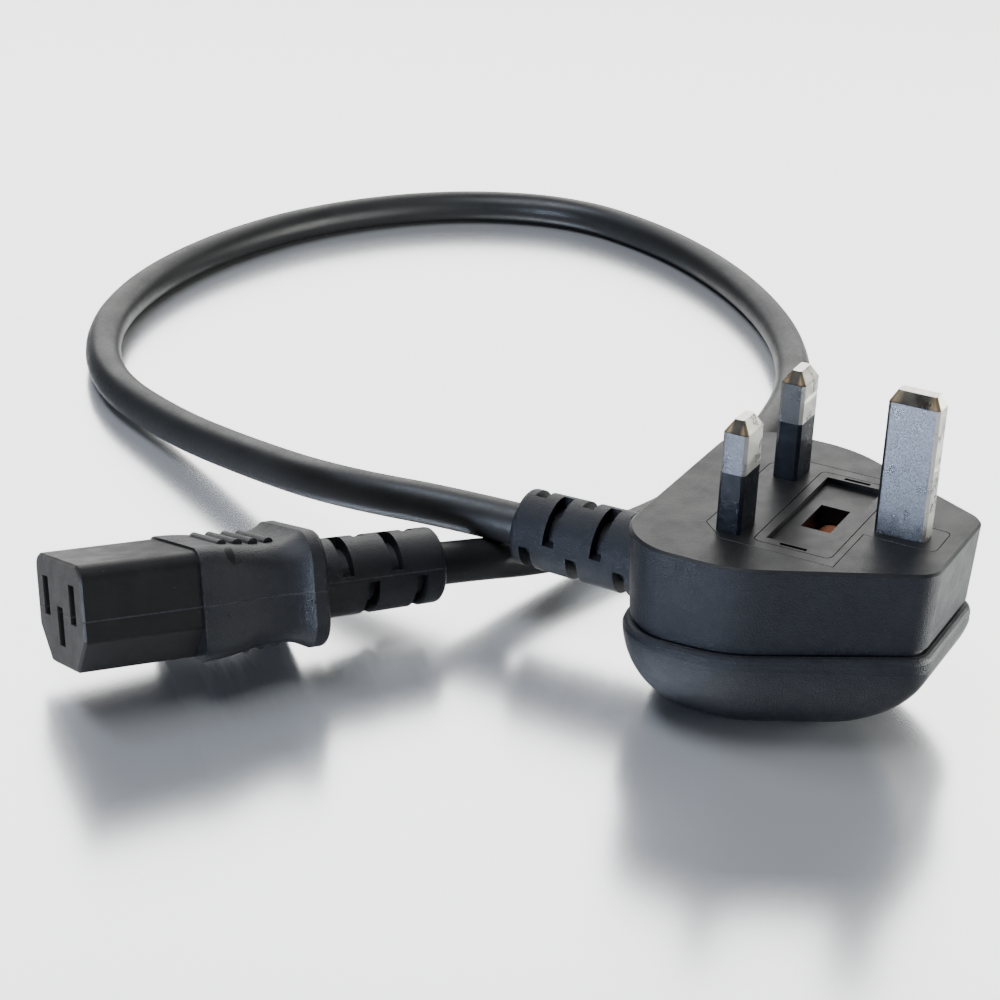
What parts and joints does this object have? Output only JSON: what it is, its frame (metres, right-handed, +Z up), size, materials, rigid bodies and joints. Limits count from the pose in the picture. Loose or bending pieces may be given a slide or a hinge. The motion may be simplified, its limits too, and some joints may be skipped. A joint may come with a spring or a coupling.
{
  "type": "uk three pin plug",
  "caption": "Moulded fused plug with flat blades and a domed grip, lying on its back, its round cord looped to an appliance connector.",
  "frame": {"origin": "on the floor below the middle of the pin face, where the plug's domed back rests", "axes": "+Z up along the pins, +X from the cord towards the earth pin, +Y towards the line pin"},
  "size_m": [0.2104, 0.2473, 0.0532],
  "materials": {
    "moulding_black": "fine spark-eroded grain",
    "carrier_black": "satin",
    "insert_black": "fine grain",
    "sleeve_black": "glossy",
    "sheath_black": "satin",
    "nickel": "blasted nickel plate",
    "brass": "bright",
    "copper": "bare copper",
    "fuse_ceramic": "printed ceramic",
    "core_brown": "smooth",
    "core_blue": "smooth",
    "core_green_yellow": "smooth, striped"
  },
  "bodies": {
    "plug": {"outer_moulding": "moulding_black", "pin_carrier": "carrier_black", "earth_pin": "nickel", "line_pin": "nickel", "neutral_pin": "nickel", "line_sleeve": "sleeve_black", "neutral_sleeve": "sleeve_black", "line_clip": "brass", "supply_clip": "brass", "brown_core": "core_brown", "blue_core": "core_blue", "earth_core": "core_green_yellow", "brown_wire": "copper", "blue_wire": "copper", "earth_wire": "copper", "cord": "sheath_black", "connector_insert": "insert_black", "connector_moulding": "moulding_black", "connector_line_contact": "brass", "connector_neutral_contact": "brass", "connector_earth_contact": "brass", "connector_brown_core": "core_brown", "connector_blue_core": "core_blue", "connector_earth_core": "core_green_yellow"},
    "fuse_drawer": {"fuse_carrier": "carrier_black", "fuse_barrel": "fuse_ceramic", "fuse_cap_front": "nickel", "fuse_cap_back": "nickel", "fuse_wire": "copper"}
  },
  "joints": [
    {"name": "fuse_drawer_slide", "type": "slide", "parent": "plug", "child": "fuse_drawer", "axis": [0, 0, 1], "range_m": [0, 0.015]}
  ]
}
